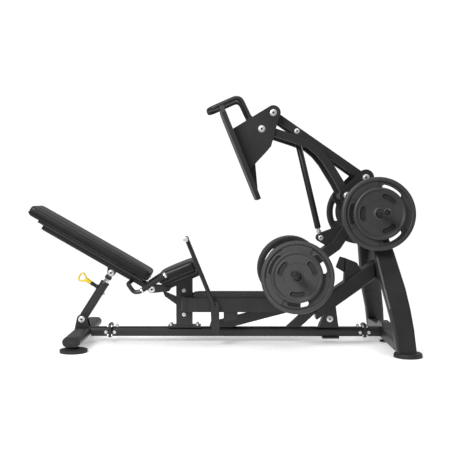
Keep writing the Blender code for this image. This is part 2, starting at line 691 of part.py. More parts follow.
def carriage():
    origin = (CARRIAGE_UPPER[0], 0, CARRIAGE_UPPER[1])
    length = hypot(FOOT_LOW[0] - FOOT_TOP[0], FOOT_LOW[1] - FOOT_TOP[1])
    behind = FOOT_STEEL + GAP
    lobe = arc(CARRIAGE_UPPER, 0.047, 110, -40, 8)
    outline = [foot_point(0.440, behind), foot_point(0.155, behind), *lobe, (0.335, 1.271), (0.222, 1.150)]
    for name, side in SIDES:
        plate = mirrored(slab(outline, TOWER_INNER, TOWER_INNER + CARRIAGE_STEEL), side)
        part(f"carriage_plate_{name}", "powder", [plate], origin=origin)
    corner = 0.045
    half = FOOT_HALF_Y
    sheet = ((corner, -half), (length - corner, -half), (length, corner - half), (length, half - corner),
             (length - corner, half), (corner, half), (0, half - corner), (0, corner - half))
    run = (Vector(FOOT_LOW) - Vector(FOOT_TOP)).normalized()
    frame = Matrix(((run.x, 0, -run.y, FOOT_TOP[0]), (0, 1, 0, 0), (run.y, 0, run.x, FOOT_TOP[1]),
                    (0, 0, 0, 1)))
    pieces = [slab(sheet, 0, FOOT_STEEL, frame=frame)]
    for y in (-0.100, 0.100):
        rib = (foot_point(0.330, FOOT_STEEL - 0.002), foot_point(0.600, FOOT_STEEL - 0.002),
               foot_point(0.400, 0.086), foot_point(0.340, 0.086))
        pieces.append(slab(rib, y - 0.005, y + 0.005))
    part("footplate", "powder", pieces, origin=origin)
    back = (0.203, 1.452)
    loop = [(*back[:1], y, back[1]) for y in (-HOOP_Y, HOOP_Y)]
    path = [loop[0], (0.135, -HOOP_Y, 1.594), (-0.060, -HOOP_Y, 1.508), (-0.060, HOOP_Y, 1.508),
            (0.135, HOOP_Y, 1.594), loop[1]]
    cross = cross_rod(back, TOWER_INNER - GAP, HOOP_RADIUS)
    part("hoop_handle", "powder", [pipe(rounded_path(path, 0.045), HOOP_RADIUS), cross], origin=origin)


# ---------------------------------------------------------------- weight arm, horns and plates

def weight_arm():
    origin = (ARM_PIVOT[0], 0, ARM_PIVOT[1])
    pieces = [slab(band((ARM_PIVOT, ARM_KINK, ARM_END), 0.035), -0.060, 0.060, bevel=0.006)]
    pieces.append(cross_rod(ARM_PIVOT, TOWER_INNER - GAP, 0.034))
    pieces.append(cross_rod(ARM_END, LOAD_HORN_Y, 0.034))
    gusset = wrap(((*ROD_BOTTOM, 0.028), (0.838, 0.770, 0.010), (0.745, 0.620, 0.010)))
    for _, side in SIDES:
        pieces.append(slab(gusset, *sorted((side * GUSSET_INNER, side * GUSSET_OUTER))))
    part("weight_arm", "powder", pieces, origin=origin)


def horn_axis(side, tilt, lean):
    """Outward direction of a horn, tilted up by `tilt` and back by `lean`."""
    return Vector((-sin(lean), side * cos(tilt) * cos(lean), sin(tilt))).normalized()


def horn(start, direction, length):
    nose = 0.012
    profile = ((0, length), (HORN_RADIUS - nose, length), (HORN_RADIUS, length - nose), (HORN_RADIUS, 0),
               (0, 0))
    return turned(profile, start, direction, 24)


def plate_profile(radius, width, rim, hub):
    """Half section of a cast plate with a thick rim and hub and a thinner web."""
    half, web = width / 2, width * 0.28
    slope, edge = 0.008, 0.004
    return ((hub - slope, half), (hub, web), (radius - rim - slope, web), (radius - rim, half),
            (radius - edge, half), (radius, half - edge), (radius, edge - half), (radius - edge, -half),
            (radius - rim, -half), (radius - rim - slope, -web), (hub, -web), (hub - slope, -half),
            (BORE_RADIUS, -half), (BORE_RADIUS, half))


def grip_slot(radius, reach, half_width, angle, depth):
    """A curved slot through a plate, centred at a radius and angle of the plate."""
    span = reach / radius
    outer = [(cos(angle + span * k), sin(angle + span * k)) for k in (-0.5, -0.25, 0, 0.25, 0.5)]
    loop = [(x * (radius + half_width), y * (radius + half_width)) for x, y in outer]
    loop += [(x * (radius - half_width), y * (radius - half_width)) for x, y in reversed(outer)]
    return slab(loop, -depth, depth, "XY")


def weight_plate(name, centre, axis, big, turn_angle, slide_origin):
    radius, width = (BIG_RADIUS, BIG_WIDTH) if big else (SMALL_RADIUS, SMALL_WIDTH)
    rim, hub = (0.032, 0.062) if big else (0.020, 0.050)
    steps = 32 if big else 24
    disc = turned(plate_profile(radius, width, rim, hub), (0, 0, 0), (0, 0, 1), steps)
    slots = []
    if big:
        slots = [grip_slot(0.166, 0.120, 0.017, turn_angle + k * 2 * pi / 3, width) for k in range(3)]
    body = boolean(disc, slots, "DIFFERENCE") if slots else disc
    facing = Matrix((Vector((1, 0, 0)), axis.cross(Vector((1, 0, 0))), axis)).transposed()
    facing.col[0] = facing.col[1].cross(axis).normalized()
    facing.col[1] = axis.cross(facing.col[0]).normalized()
    body.data.transform(Matrix.Translation(centre) @ facing.to_4x4())
    part(name, "iron", [body], origin=slide_origin)


def loaded_horn(level, name, base, axis, first, turn_angle):
    """A pair of plates on a horn; `first` is where the big plate's inner face sits."""
    big = base + axis * (first + BIG_WIDTH / 2)
    small = base + axis * (first + BIG_WIDTH + GAP + SMALL_WIDTH / 2)
    weight_plate(f"{level}_plate_big_{name}", big, axis, True, turn_angle, big)
    weight_plate(f"{level}_plate_small_{name}", small, axis, False, 0.0, big)


def horns_and_plates():
    for name, side in SIDES:
        low_axis = horn_axis(side, radians(9.3), radians(8.4))
        base = Vector((ARM_END[0], side * LOAD_HORN_Y, ARM_END[1]))
        reach = (HORN_TIP_Y - LOAD_HORN_Y) / abs(low_axis.y)
        inner = horn(base - low_axis * 0.020, low_axis, reach + 0.020)
        trim = block((0.30, -LOAD_HORN_Y - GAP, 0.30), (0.70, LOAD_HORN_Y + GAP, 0.60))
        part(f"load_horn_{name}", "powder", [inner], [trim], origin=base)
        loaded_horn("lower", name, base, low_axis, 0.060, -side * radians(30))
        high_axis = horn_axis(side, radians(3), 0)
        leg_y = 0.150
        root = Vector((STORE_HORN[0], side * leg_y, STORE_HORN[1]))
        shaft = horn(root, high_axis, (HORN_TIP_Y - leg_y) / abs(high_axis.y))
        leg = mirrored(rear_leg(GAP), side)
        inside = block((0.90, -0.22, 0.70), (1.08, 0.22, 1.00))
        part(f"storage_horn_{name}", "powder", [shaft], [leg, inside], origin=root)
        loaded_horn("upper", name, root, high_axis, 0.216, -side * radians(60))


def build():
    front_frame()
    base_rail()
    rear_frame()
    tower()
    beam_parts()
    seat()
    platform()
    safety_lever()
    backrest()
    strut()
    upper_links()
    curved_arms()
    push_rod()
    carriage()
    weight_arm()
    horns_and_plates()


clear_scene()
MODEL = make_collection("leg_press_machine")
CUTTERS = make_collection("cutters")
build()
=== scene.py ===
"""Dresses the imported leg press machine: camera, light, materials, upholstery and fine hardware."""
import json
from math import cos, hypot, pi, radians, sin

import bmesh
import bpy
from mathutils import Matrix, Vector


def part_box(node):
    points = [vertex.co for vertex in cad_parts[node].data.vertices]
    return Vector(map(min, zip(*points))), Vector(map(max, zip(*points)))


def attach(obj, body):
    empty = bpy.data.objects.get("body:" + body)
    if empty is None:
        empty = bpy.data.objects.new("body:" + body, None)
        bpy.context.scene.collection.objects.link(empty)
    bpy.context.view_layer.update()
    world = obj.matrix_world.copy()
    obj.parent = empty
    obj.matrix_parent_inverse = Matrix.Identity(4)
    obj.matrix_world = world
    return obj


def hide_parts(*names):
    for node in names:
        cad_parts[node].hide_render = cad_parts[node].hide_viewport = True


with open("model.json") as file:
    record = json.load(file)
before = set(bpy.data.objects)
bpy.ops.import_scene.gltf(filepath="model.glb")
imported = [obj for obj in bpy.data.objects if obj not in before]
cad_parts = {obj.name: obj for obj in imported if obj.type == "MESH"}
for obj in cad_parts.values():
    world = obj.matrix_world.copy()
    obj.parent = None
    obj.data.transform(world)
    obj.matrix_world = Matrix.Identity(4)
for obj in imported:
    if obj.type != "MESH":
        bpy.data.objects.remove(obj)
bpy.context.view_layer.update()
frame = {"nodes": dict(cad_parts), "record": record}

SIDES = (("left", 1), ("right", -1))

# Camera, light and floor
CAMERA_PLACE = (0.075, -5.39, 0.951)
CAMERA_LENS = 65.8
CAMERA_PITCH, CAMERA_YAW = radians(1.95), radians(0.35)
WORLD_ON_OBJECT, WORLD_TO_CAMERA = 0.40, 1.05
LIGHTS = (
    # name, place, target, size, power
    ("key", (-2.6, -4.4, 3.6), (0.1, 0, 0.7), (2.6, 2.0), 250),
    ("top", (0.4, 0.2, 4.5), (0.1, 0, 0.6), (3.5, 2.0), 70),
    ("rim", (3.4, 1.8, 2.6), (0.3, 0, 0.8), (1.5, 2.5), 60),
)
FLOOR_HALF_SIZE = 6
FLOOR_GLOW = 0.30
FLOOR_REACH_X, FLOOR_REACH_Y = 2.5, 1.7
FLOOR_FADE_END = 0.40

# Places shared with the solids
TOWER_UPPER, TOWER_LOWER, ARM_PIVOT = (0.934, 1.074), (0.815, 0.961), (0.941, 0.905)
CARRIAGE_UPPER, CARRIAGE_LOWER = (0.348, 1.483), (0.275, 1.381)
ROD_TOP, ROD_BOTTOM = (0.503, 1.372), (0.666, 0.686)
ARM_END = (0.500, 0.447)
STRUT_FOOT, STRUT_HEAD = (-0.896, 0.152), (-0.704, 0.455)
PIN_STATION = 0.229
BACK_PIVOT = (-0.4345, 0.3486)
BACK_END, BACK_ANGLE = (-0.4615, 0.4018), radians(29.87)
BACK_LENGTH, BACK_THICKNESS, BACK_HALF_Y = 0.887, 0.074, 0.140
SEAT_LOW, SEAT_HIGH = (-0.362, 0.387), (-0.143, 0.477)
SEAT_THICKNESS, SEAT_HALF_Y = 0.080, 0.190
GRIP_START, GRIP_END = (-0.475, 0.366), (-0.339, 0.455)
GRIP_Y = 0.224
TOWER_OUTER, CARRIAGE_OUTER, LINK_OUTER = 0.184, 0.182, 0.115
GUSSET_OUTER = 0.034
STORE_HORN, STORE_START_Y = (0.978, 0.8355), 0.150
LOAD_START_Y, HORN_TIP_Y = 0.300, 0.660
HORN_RADIUS = 0.024
BIG_RADIUS, BIG_WIDTH = 0.225, 0.045
SMALL_RADIUS, SMALL_WIDTH = 0.159, 0.035
BORE_RADIUS = 0.0254
PLATE_GAP = 0.0003
LOAD_TILT, LOAD_LEAN, STORE_TILT = radians(9.3), radians(8.4), radians(3)
LOAD_SHAFT_START, LOAD_COLLAR, LOAD_PLATES = 0.006, 0.046, 0.060
STORE_SHAFT_START, STORE_COLLAR, STORE_PLATES = 0.105, 0.203, 0.216
LEVER_X, LEVER_Y, LEVER_TOP_Z = -0.200, -0.200, 0.690
HOOP_BACK, HOOP_CORNER, HOOP_NOSE = (0.203, 1.452), (0.135, 1.594), (-0.060, 1.508)
HOOP_HALF_Y, HOOP_TUBE_RADIUS, HOOP_BEND = 0.120, 0.015, 0.045
FRONT_TUBE_X, FRONT_TUBE_Z, FRONT_TUBE_END_Y = -0.891, 0.068, 0.430

# Slots and sectors of the plates. A slot is its middle radius, half width and half span in radians.
BIG_SLOT, BIG_LIP, BIG_LIP_HOLE = (0.166, 0.0165, 0.30), (0.166, 0.0215, 0.31), (0.166, 0.0168, 0.30)
SMALL_WELL, SMALL_WELL_FLOOR = (0.108, 0.0150, 0.28), (0.108, 0.0146, 0.28)
SMALL_LIP, SMALL_LIP_HOLE = (0.108, 0.0195, 0.30), (0.108, 0.0152, 0.28)
BIG_SECTOR, SMALL_SECTOR = (0.105, 0.196), (0.084, 0.132)

# Upholstery
COVER_CORNER = 0.018
CLOTH_PRESSURE, CLOTH_STIFFNESS, CLOTH_BENDING = 1.2, 40.0, 20.0
CLOTH_STEPS = 12
RELAX_BEFORE, RELAX_AFTER = 12, 10
HELD_HEIGHT = 0.010
SEAM_CORNER, SEAM_INSET, SEAM_RADIUS = 0.020, 0.003, 0.0022

# Carried-over solids
EDGE_ROUNDING, EDGE_ANGLE = 0.0022, radians(40)


# ---------------------------------------------------------------- materials

def node_material(name, colour, rough, metallic=0.0, coat=0.0):
    material = bpy.data.materials.new(name)
    material.use_nodes = True
    shader = material.node_tree.nodes["Principled BSDF"]
    shader.inputs["Base Color"].default_value = (*colour, 1)
    shader.inputs["Roughness"].default_value = rough
    shader.inputs["Metallic"].default_value = metallic
    shader.inputs["Coat Weight"].default_value = coat
    return material, material.node_tree, shader


def noise(tree, scale, detail=3.0, stretch=(1, 1, 1)):
    place = tree.nodes.new("ShaderNodeTexCoord")
    mapping = tree.nodes.new("ShaderNodeMapping")
    mapping.inputs["Scale"].default_value = stretch
    texture = tree.nodes.new("ShaderNodeTexNoise")
    texture.inputs["Scale"].default_value = scale
    texture.inputs["Detail"].default_value = detail
    tree.links.new(place.outputs["Object"], mapping.inputs["Vector"])
    tree.links.new(mapping.outputs["Vector"], texture.inputs["Vector"])
    return texture


def vary_colour(tree, shader, source, low, high, span=(0.35, 0.65)):
    ramp = tree.nodes.new("ShaderNodeValToRGB")
    ramp.color_ramp.elements[0].position = span[0]
    ramp.color_ramp.elements[1].position = span[1]
    ramp.color_ramp.elements[0].color = (*low, 1)
    ramp.color_ramp.elements[1].color = (*high, 1)
    tree.links.new(source, ramp.inputs["Fac"])
    tree.links.new(ramp.outputs["Color"], shader.inputs["Base Color"])


def vary_roughness(tree, shader, source, low, high):
    spread = tree.nodes.new("ShaderNodeMapRange")
    spread.inputs["To Min"].default_value = low
    spread.inputs["To Max"].default_value = high
    tree.links.new(source, spread.inputs["Value"])
    tree.links.new(spread.outputs["Result"], shader.inputs["Roughness"])


def add_bump(tree, shader, source, strength, distance):
    bump = tree.nodes.new("ShaderNodeBump")
    bump.inputs["Strength"].default_value = strength
    bump.inputs["Distance"].default_value = distance
    tree.links.new(source, bump.inputs["Height"])
    tree.links.new(bump.outputs["Normal"], shader.inputs["Normal"])


def textured(name, low, high, rough, metallic, grain, bump, depth, patch=7.0, coat=0.0, stretch=(1, 1, 1)):
    """A finish with slow colour variation, varied gloss and a fine grain."""
    middle = tuple((a + b) / 2 for a, b in zip(low, high))
    material, tree, shader = node_material(name, middle, rough[0], metallic, coat)
    slow = noise(tree, patch, 5.0, stretch)
    fine = noise(tree, grain, 2.0, stretch)
    vary_colour(tree, shader, slow.outputs["Fac"], low, high)
    vary_roughness(tree, shader, slow.outputs["Fac"], *rough)
    add_bump(tree, shader, fine.outputs["Fac"], bump, depth)
    return material


def vinyl_material():
    material, tree, shader = node_material("upholstery_vinyl", (0.008, 0.008, 0.0085), 0.42, 0.0, 0.10)
    shader.inputs["Specular IOR Level"].default_value = 0.30
    place = tree.nodes.new("ShaderNodeTexCoord")
    cells = tree.nodes.new("ShaderNodeTexVoronoi")
    cells.inputs["Scale"].default_value = 420.0
    tree.links.new(place.outputs["Object"], cells.inputs["Vector"])
    slow = noise(tree, 9.0, 4.0)
    vary_colour(tree, shader, slow.outputs["Fac"], (0.006, 0.006, 0.0065), (0.010, 0.010, 0.0105))
    vary_roughness(tree, shader, slow.outputs["Fac"], 0.34, 0.50)
    add_bump(tree, shader, cells.outputs["Distance"], 0.35, 0.0006)
    return material


def tread_material():
    return textured("tread_rubber", (0.012, 0.012, 0.012), (0.022, 0.022, 0.022), (0.62, 0.85), 0.0,
                    700, 0.4, 0.0005)


MATERIALS = {
    "powder_coat": textured("powder_coat", (0.0095, 0.0095, 0.0100), (0.0140, 0.0140, 0.0145), (0.36, 0.50),
                            0.0, 1100, 0.16, 0.0003, coat=0.05),
    "board": textured("painted_board", (0.014, 0.013, 0.012), (0.028, 0.026, 0.024), (0.60, 0.80), 0.0,
                      260, 0.3, 0.0006, stretch=(1, 8, 1)),
    "black_rubber": textured("black_rubber", (0.007, 0.007, 0.007), (0.013, 0.013, 0.013), (0.55, 0.75),
                             0.0, 800, 0.3, 0.0004),
    "cast_plate": textured("plate_enamel", (0.036, 0.036, 0.037), (0.046, 0.046, 0.047), (0.42, 0.55), 0.1,
                           650, 0.30, 0.0004),
    "bright_steel": textured("polished_steel", (0.55, 0.55, 0.56), (0.68, 0.68, 0.69), (0.10, 0.22), 1.0,
                             900, 0.05, 0.0002),
    "yellow_plastic": textured("yellow_plastic", (0.80, 0.56, 0.012), (0.90, 0.68, 0.02), (0.25, 0.38), 0.0,
                               500, 0.08, 0.0003, coat=0.3),
    "vinyl": vinyl_material(),
}
ZINC = textured("zinc_bolt", (0.80, 0.80, 0.80), (0.90, 0.90, 0.90), (0.30, 0.44), 0.85, 900, 0.1, 0.0002)
HORN_STEEL = textured("horn_steel", (0.018, 0.018, 0.019), (0.030, 0.030, 0.031), (0.30, 0.42), 0.3,
                      500, 0.1, 0.0003)
ALUMINIUM = textured("aluminium", (0.78, 0.78, 0.79), (0.88, 0.88, 0.89), (0.30, 0.42), 0.85, 700, 0.1,
                     0.0002)
TREAD = tread_material()
# Near-black finish for the floors of the small plates' wells: painted shade in the recesses.
PAINTED_WELL_SHADE = textured("painted_well_shade", (0.010, 0.010, 0.010), (0.015, 0.015, 0.015), (0.55, 0.70), 0.0, 650, 0.2,
                  0.0003)


# ---------------------------------------------------------------- piece helpers

def place_piece(item, body, material, replaces=()):
    item.data.materials.clear()
    item.data.materials.append(material)
    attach(item, body)
    if replaces:
        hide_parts(*replaces)
    return item


def mesh_piece(name, shape, matrix=None, smooth=35):
    mesh = bpy.data.meshes.new(name)
    bmesh.ops.recalc_face_normals(shape, faces=shape.faces)
    shape.to_mesh(mesh)
    shape.free()
    if matrix is not None:
        mesh.transform(matrix)
    mesh.shade_smooth()
    mesh.set_sharp_from_angle(angle=radians(smooth))
    item = bpy.data.objects.new(name, mesh)
    bpy.context.scene.collection.objects.link(item)
    return item


def aim(start, direction):
    return Matrix.Translation(start) @ Vector(direction).to_track_quat("Z", "Y").to_matrix().to_4x4()


def lathe(profile, steps=48):
    """Turn (radius, height) pairs about Z; a radius of 0 closes the end."""
    shape = bmesh.new()
    rings = []
    for radius, height in profile:
        if radius < 1e-6:
            rings.append([shape.verts.new((0, 0, height))])
            continue
        angles = (2 * pi * k / steps for k in range(steps))
        rings.append([shape.verts.new((radius * cos(a), radius * sin(a), height)) for a in angles])
    loops = list(zip(rings, rings[1:]))
    if len(rings[0]) > 1:
        loops.append((rings[-1], rings[0]))
    for upper, lower in loops:
        join_rings(shape, upper, lower, steps)
    return shape


def join_rings(shape, upper, lower, steps):
    for k in range(steps):
        following = (k + 1) % steps
        if len(upper) == 1:
            shape.faces.new((upper[0], lower[k], lower[following]))
        elif len(lower) == 1:
            shape.faces.new((upper[k], lower[0], upper[following]))
        else:
            shape.faces.new((upper[k], lower[k], lower[following], upper[following]))


def tube_piece(name, points, radius, cyclic=False, resolution=6):
    curve = bpy.data.curves.new(name, "CURVE")
    curve.dimensions = "3D"
    curve.bevel_depth = radius
    curve.bevel_resolution = resolution
    curve.use_fill_caps = True
    spline = curve.splines.new("POLY")
    spline.points.add(len(points) - 1)
    for point, place in zip(spline.points, points):
        point.co = (*place, 1)
    spline.use_cyclic_u = cyclic
    item = bpy.data.objects.new(name, curve)
    bpy.context.scene.collection.objects.link(item)
    return item


def arc(centre, radius, start, end, steps):
    angles = [start + (end - start) * k / steps for k in range(steps + 1)]
    return [(centre[0] + radius * cos(a), centre[1] + radius * sin(a)) for a in angles]


def prism(outline, low, high, bevel=0.0, segments=2):
    """An outline in X-Y, given thickness along Z."""
    shape = bmesh.new()
    lower = [shape.verts.new((x, y, low)) for x, y in outline]
    upper = [shape.verts.new((x, y, high)) for x, y in outline]
    count = len(outline)
    shape.faces.new(lower[::-1])
    shape.faces.new(upper)
    for k in range(count):
        following = (k + 1) % count
        shape.faces.new((lower[k], lower[following], upper[following], upper[k]))
    if bevel:
        edges = [e for e in shape.edges if e.calc_face_angle() > radians(40)]
        bmesh.ops.bevel(shape, geom=edges, offset=bevel, segments=segments, affect="EDGES")
    return shape


def merge(shapes):
    """Several bmesh shapes as one."""
    mesh = bpy.data.meshes.new("merge")
    result = bmesh.new()
    for shape in shapes:
        shape.to_mesh(mesh)
        result.from_mesh(mesh)
        shape.free()
    bpy.data.meshes.remove(mesh)
    return result


def moved(shape, matrix):
    shape.transform(matrix)
    return shape


# ---------------------------------------------------------------- fasteners

def socket_cap(radius, height):
    """A domed cap bolt with a hexagon socket and a washer under it."""
    flat = radius * 0.42
    washer = [(radius * 1.22, 0), (radius * 1.22, height * 0.16), (radius, height * 0.20)]
    dome = [(radius, height * 0.72), (radius * 0.93, height * 0.90), (radius * 0.80, height)]
    shape = lathe([(0, height * 0.42), (flat * 0.98, height * 0.42), (flat, height),
                   *dome[::-1], *washer[::-1], (0, 0)], 48)
    for vertex in shape.verts:
        reach = hypot(vertex.co.x, vertex.co.y)
        if 1e-5 < reach < flat * 1.01 and vertex.co.z > height * 0.4:
            turn = Vector((vertex.co.x, vertex.co.y)).angle_signed(Vector((1, 0))) % (pi / 3) - pi / 6
            grow = cos(pi / 6) / cos(turn)
            vertex.co.x *= grow * 1.08
            vertex.co.y *= grow * 1.08
    return shape


def hex_nut(across, height):
    points = [(across / 2 / cos(pi / 6) * cos(pi / 3 * k), across / 2 / cos(pi / 6) * sin(pi / 3 * k))
              for k in range(6)]
    nut = prism(points, 0.0015, height, across * 0.05)
    washer = lathe([(0, 0.0016), (across * 0.66, 0.0016), (across * 0.66, 0), (0, 0)], 32)
    stud = lathe([(0, height * 1.35), (across * 0.26, height * 1.35), (across * 0.30, height * 1.25),
                  (across * 0.30, height * 0.9), (0, height * 0.9)], 24)
    return merge([nut, washer, stud])


def bolt_pairs(name, places, offset, radius, height, body):
    """Cap bolts on both outer faces at a distance from the centre plane."""
    spots = [aim((x, side * offset, z), (0, side, 0)) for x, z in places for _, side in SIDES]
    bolts = [moved(socket_cap(radius, height), spot) for spot in spots]
    # The black discs inside the sockets are painted shade, not part of the bolts.
    socket_shades = [moved(socket_shade_disc(radius, height), spot) for spot in spots]
    place_piece(mesh_piece(name, merge(bolts)), body, ZINC)
    place_piece(mesh_piece(f"{name}_sockets", merge(socket_shades)), body,
                MATERIALS["black_rubber"])


def socket_shade_disc(radius, height):
    """A dark disc at the bottom of a cap bolt's hexagon socket: painted shade for the socket's depth."""
    reach = radius * 0.40
    return lathe([(0, height * 0.60), (reach, height * 0.60), (reach, height * 0.46), (0, height * 0.46)], 12)


def pivot_bolts():
    bolt_pairs("tower_pivot_bolts", (TOWER_UPPER, TOWER_LOWER), TOWER_OUTER, 0.018, 0.010, "frame")
    bolt_pairs("arm_pivot_bolts", (ARM_PIVOT,), TOWER_OUTER, 0.017, 0.010, "frame")
    bolt_pairs("carriage_bolts", (CARRIAGE_UPPER, CARRIAGE_LOWER), CARRIAGE_OUTER, 0.018, 0.010, "carriage")
    bolt_pairs("rod_top_bolts", (ROD_TOP,), LINK_OUTER, 0.014, 0.008, "upper_link")
    bolt_pairs("rod_bottom_bolts", (ROD_BOTTOM,), GUSSET_OUTER, 0.014, 0.008, "weight_arm")
    bolt_pairs("post_bolts", ((-0.225, 0.341), (-0.225, 0.184)), 0.045, 0.010, 0.006, "frame")
    bolt_pairs("beam_bolts", ((0.726, 0.156),), 0.045, 0.017, 0.009, "frame")
    bolt_pairs("strut_foot_bolts", (STRUT_FOOT,), 0.0415, 0.0175, 0.008, "frame")
    bolt_pairs("back_pivot_bolts", (BACK_PIVOT,), 0.0515, 0.017, 0.009, "frame")
    bolt_pairs("strut_head_bolts", (STRUT_HEAD,), 0.025, 0.017, 0.008, "backrest")


def frame_bolts():
    """Hexagon bolts at the rail's flanges, the seat post's foot and the tower's cross plate."""
    shapes = []
    for flange in (-0.710, 0.955):
        for face in (-1, 1):
            for y in (-0.046, 0.046):
                for z in (0.048, 0.107):
                    shapes.append(moved(hex_nut(0.013, 0.006), aim((flange + face * 0.009, y, z),
                                                                   (face, 0, 0))))
    for x in (-0.738, -0.682, 0.927, 0.983):
        for _, side in SIDES:
            shapes.append(moved(socket_cap(0.009, 0.006), aim((x, side * 0.035, 0.066), (0, side, 0))))
    for x in (-0.668, 0.913):
        shapes.append(moved(hex_nut(0.018, 0.014), aim((x, 0, 0.0992), (0, 0, 1))))
    for x in (-0.312, -0.138):
        for y in (-0.030, 0.030):
            shapes.append(moved(hex_nut(0.018, 0.012), aim((x, y, 0.1093), (0, 0, 1))))
    for y, z in ((-0.265, 0.450), (0.265, 0.450), (-0.215, 0.590), (0.215, 0.590)):
        shapes.append(moved(hex_nut(0.017, 0.008), aim((1.032, y, z), (1, 0, 0))))
    place_piece(mesh_piece("frame_bolts", merge(shapes)), "frame", ZINC)


def rail_supports():
    """The pad on the rail under the beam, and the small foot under the rail's rear end."""
    pad = prism([(0.680, -0.030), (0.790, -0.030), (0.790, 0.030), (0.680, 0.030)], 0.024, 0.0367, 0.002)
    place_piece(mesh_piece("rail_pad", pad), "frame", MATERIALS["powder_coat"])
    anchor = lathe([(0, 0.0297), (0.012, 0.0297), (0.012, 0.016), (0.030, 0.012), (0.032, 0.009), (0.032, 0),
                    (0, 0)], 40)
    place_piece(mesh_piece("centre_foot", anchor, Matrix.Translation((1.092, 0, 0))), "frame",
                MATERIALS["black_rubber"])


# ---------------------------------------------------------------- weight plates

def horn_axis(side, tilt, lean):
    return Vector((-sin(lean), side * cos(tilt) * cos(lean), sin(tilt))).normalized()


def plate_matrix(centre, axis):
    """Local +Z is outward along the horn and local X stays as near world X as it can."""
    across = Vector((1, 0, 0)) - axis * axis.x
    across.normalize()
    facing = Matrix((across, axis.cross(across), axis)).transposed()
    return Matrix.Translation(centre) @ facing.to_4x4()


def cut(item, cutter):
    """Cut one piece by another and drop the cutter."""
    modifier = item.modifiers.new("cut", "BOOLEAN")
    modifier.operation = "DIFFERENCE"
    modifier.object = cutter
    bpy.context.view_layer.update()
    graph = bpy.context.evaluated_depsgraph_get()
    mesh = bpy.data.meshes.new_from_object(item.evaluated_get(graph), depsgraph=graph)
    item.modifiers.clear()
    item.data = mesh
    bpy.data.objects.remove(cutter, do_unlink=True)
    mesh.shade_smooth()
    mesh.set_sharp_from_angle(angle=radians(14))
    return item


def sector(inner, outer, middle, span, steps=18):
    outline = arc((0, 0), outer, middle - span / 2, middle + span / 2, steps)
    return outline + arc((0, 0), inner, middle + span / 2, middle - span / 2, steps)


def thirds(turn):
    return [turn + k * 2 * pi / 3 for k in range(3)]


def slot_outline(radius, half_width, half_span, middle):
    """A curved slot with round ends."""
    start, end = middle - half_span, middle + half_span
    first = (radius * cos(start), radius * sin(start))
    last = (radius * cos(end), radius * sin(end))
    return (arc((0, 0), radius + half_width, start, end, 14) + arc(last, half_width, end, end + pi, 8)[1:-1]
            + arc((0, 0), radius - half_width, end, start, 14)
            + arc(first, half_width, start + pi, start + 2 * pi, 8)[1:-1])


def ring_profile(radius, half, web, rim, hub):
    """Half section of a cast plate: rolled rim, stepped web and raised hub."""
    return [(hub - 0.006, half), (hub, half - 0.002), (hub + 0.007, web), (radius - rim - 0.009, web),
            (radius - rim - 0.002, half - 0.002), (radius - rim + 0.002, half), (radius - 0.010, half),
            (radius - 0.003, half - 0.003), (radius, half - 0.010), (radius, 0.010 - half),
            (radius - 0.003, 0.003 - half), (radius - 0.010, -half), (radius - rim, -half),
            (radius - rim - 0.009, -web), (hub + 0.007, -web), (hub, -half), (BORE_RADIUS + 0.002, -half),
            (BORE_RADIUS, 0.002 - half), (BORE_RADIUS, half - 0.002), (BORE_RADIUS + 0.002, half)]


def big_plate(name, matrix, body, turn):
    half, web = BIG_WIDTH / 2, BIG_WIDTH * 0.28
    disc = mesh_piece(name, lathe(ring_profile(BIG_RADIUS, half, web, 0.024, 0.052), 96))
    angles = thirds(turn)
    slots = merge([prism(slot_outline(*BIG_SLOT, a), -BIG_WIDTH, BIG_WIDTH) for a in angles])
    cut(disc, mesh_piece(f"{name}_cutter", slots))
    disc.data.transform(matrix)
    place_piece(disc, body, MATERIALS["cast_plate"], (name_of_node(name),))
    raised = []
    for a in angles:
        raised.append(prism(sector(*BIG_SECTOR, a + pi / 3, radians(58)), web - 0.001, half - 0.003, 0.002))
        lip = slot_outline(*BIG_LIP, a)
        hole = slot_outline(*BIG_LIP_HOLE, a)
        raised.append(outlined_ring(lip, hole, web - 0.001, web + 0.004))
    place_piece(mesh_piece(f"{name}_relief", merge(raised), matrix), body,
                MATERIALS["cast_plate"])


def outlined_ring(outer, inner, low, high):
    """A raised lip between two outlines of equal point counts."""
    shape = bmesh.new()
    loops = [[shape.verts.new((x, y, z)) for x, y in outline]
             for outline, z in ((outer, low), (outer, high - 0.001), (inner, high), (inner, low))]
    count = len(outer)
    for upper, lower in zip(loops, loops[1:] + loops[:1]):
        for k in range(count):
            following = (k + 1) % count
            shape.faces.new((upper[k], upper[following], lower[following], lower[k]))
    return shape


def small_plate(name, matrix, body, turn):
    half, web = SMALL_WIDTH / 2, SMALL_WIDTH * 0.36
    disc = mesh_piece(name, lathe(ring_profile(SMALL_RADIUS, half, web, 0.014, 0.034), 96))
    angles = thirds(turn)
    wells = merge([prism(slot_outline(*SMALL_WELL, a), web - 0.010, half * 2) for a in angles])
    cut(disc, mesh_piece(f"{name}_cutter", wells))
    disc.data.transform(matrix)
    place_piece(disc, body, MATERIALS["cast_plate"], (name_of_node(name),))
    # The dark floors laid in the wells are painted shade, darker than the plate's own enamel.
    well_shade_floors = merge([prism(slot_outline(*SMALL_WELL_FLOOR, a), web - 0.0102, web - 0.0092) for a in angles])
    place_piece(mesh_piece(f"{name}_wells", well_shade_floors, matrix), body, PAINTED_WELL_SHADE)
    relief = []
    for a in angles:
        lip = slot_outline(*SMALL_LIP, a)
        hole = slot_outline(*SMALL_LIP_HOLE, a)
        relief.append(outlined_ring(lip, hole, web - 0.001, web + 0.003))
        relief.append(prism(sector(*SMALL_SECTOR, a + pi / 3, radians(62)), web - 0.001, web + 0.0025, 0.001))
    place_piece(mesh_piece(f"{name}_relief", merge(relief), matrix), body,
                MATERIALS["cast_plate"])


def name_of_node(name):
    """The solid that a cast plate stands in for."""
    return name.replace("cast_", "")


